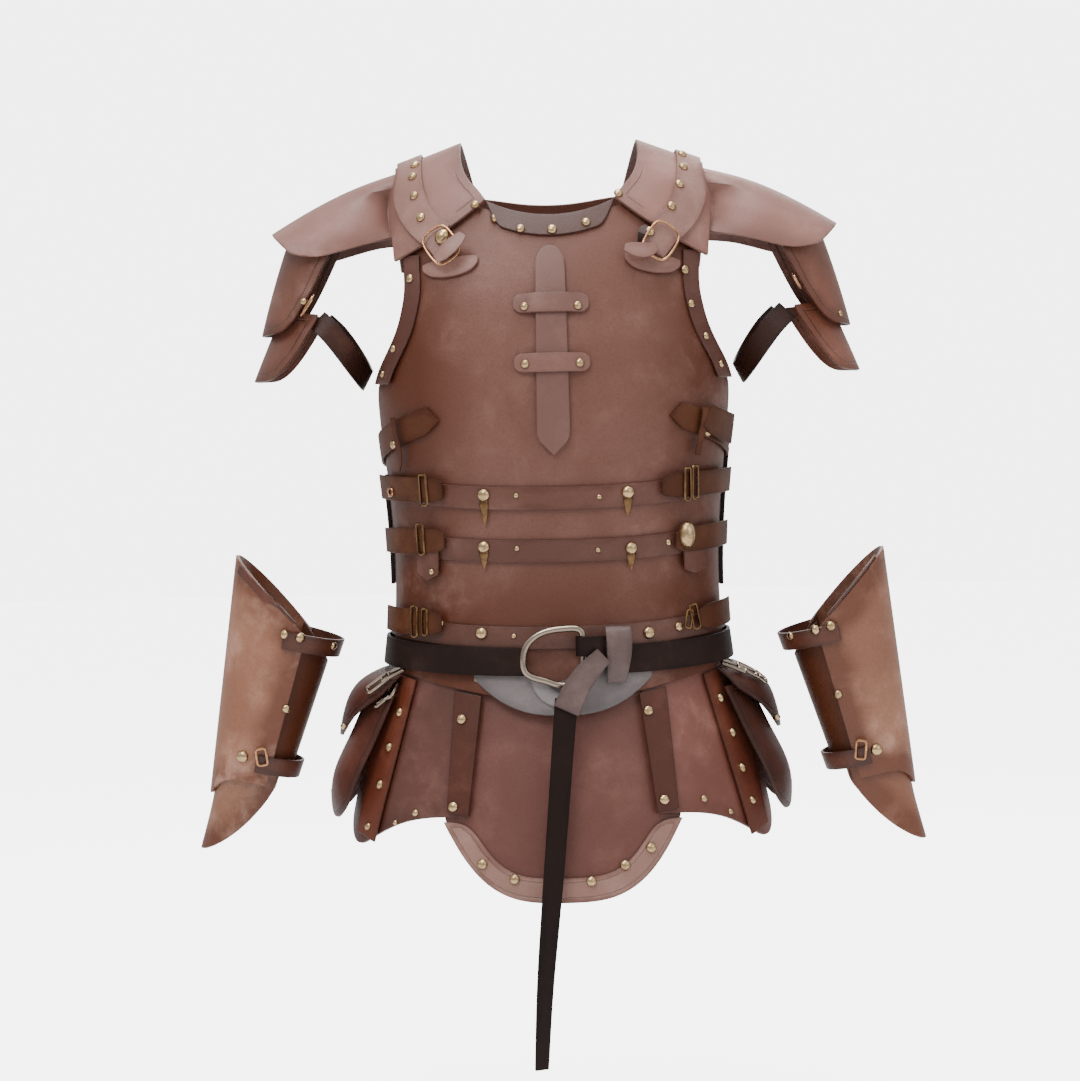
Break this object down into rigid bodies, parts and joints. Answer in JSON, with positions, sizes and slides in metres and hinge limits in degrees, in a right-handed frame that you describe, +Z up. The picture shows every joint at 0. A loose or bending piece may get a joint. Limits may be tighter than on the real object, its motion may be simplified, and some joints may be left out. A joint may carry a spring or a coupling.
{
  "type": "leather armour",
  "caption": "Worn leather armour: breast and back plates, shoulder yokes, layered pauldrons, ring belt with hanging end, skirt of tassets and laced forearm bracers, hollow inside.",
  "frame": {"origin": "midway between the shoulders, at the height where the yokes rest on them", "axes": "+Z up along the body, -Y the front, +X the wearer's left"},
  "size_m": [0.7304, 0.3121, 0.8912],
  "materials": {
    "armour_leather": "vegetable-tanned armour leather, semi-matte, mottled red brown",
    "strap_leather": "darker red-brown strap leather, burnished edges",
    "belt_leather": "very dark brown strap leather",
    "grey_leather": "soft grey leather",
    "buckle_brass": "antique brass",
    "ring_steel": "brushed nickel steel"
  },
  "bodies": {
    "root": {"arm_strap_left": "belt_leather", "arm_strap_right": "belt_leather", "armhole_binding_left": "strap_leather", "armhole_binding_right": "strap_leather", "backplate": "armour_leather", "band_tab_left": "strap_leather", "band_tab_right": "strap_leather", "belly_apron": "grey_leather", "belt": "belt_leather", "belt_flap": "armour_leather", "belt_loop": "armour_leather", "belt_ring": "ring_steel", "belt_tail": "belt_leather", "bracer_flap_left": "armour_leather", "bracer_flap_right": "armour_leather", "bracer_gusset_left": "strap_leather", "bracer_gusset_right": "strap_leather", "bracer_left": "armour_leather", "bracer_right": "armour_leather", "bracer_strap_lower_left": "strap_leather", "bracer_strap_lower_right": "strap_leather", "bracer_strap_upper_left": "strap_leather", "bracer_strap_upper_right": "strap_leather", "breastplate": "armour_leather", "chest_keeper_lower": "armour_leather", "chest_keeper_upper": "armour_leather", "chest_tongue": "armour_leather", "hip_lame_lower_left": "armour_leather", "hip_lame_lower_right": "armour_leather", "hip_lame_upper_left": "armour_leather", "hip_lame_upper_right": "armour_leather", "neck_binding": "strap_leather", "pauldron_lower_left": "armour_leather", "pauldron_lower_right": "armour_leather", "pauldron_middle_left": "armour_leather", "pauldron_middle_right": "armour_leather", "pauldron_upper_left": "armour_leather", "pauldron_upper_right": "armour_leather", "shoulder_buckle_left": "buckle_brass", "shoulder_buckle_right": "buckle_brass", "shoulder_strap_left": "armour_leather", "shoulder_strap_right": "armour_leather", "shoulder_tab_left": "armour_leather", "shoulder_tab_right": "armour_leather", "side_strap_left": "strap_leather", "side_strap_right": "strap_leather", "tasset_back": "armour_leather", "tasset_border": "armour_leather", "tasset_centre": "armour_leather", "tasset_inner_strip_left": "strap_leather", "tasset_inner_strip_right": "strap_leather", "tasset_outer_strip_left": "strap_leather", "tasset_outer_strip_right": "strap_leather", "tasset_side_left": "armour_leather", "tasset_side_right": "armour_leather", "waist_band_lower": "strap_leather", "waist_band_middle": "strap_leather", "waist_band_upper": "strap_leather", "yoke_left": "armour_leather", "yoke_right": "armour_leather"}
  },
  "joints": []
}
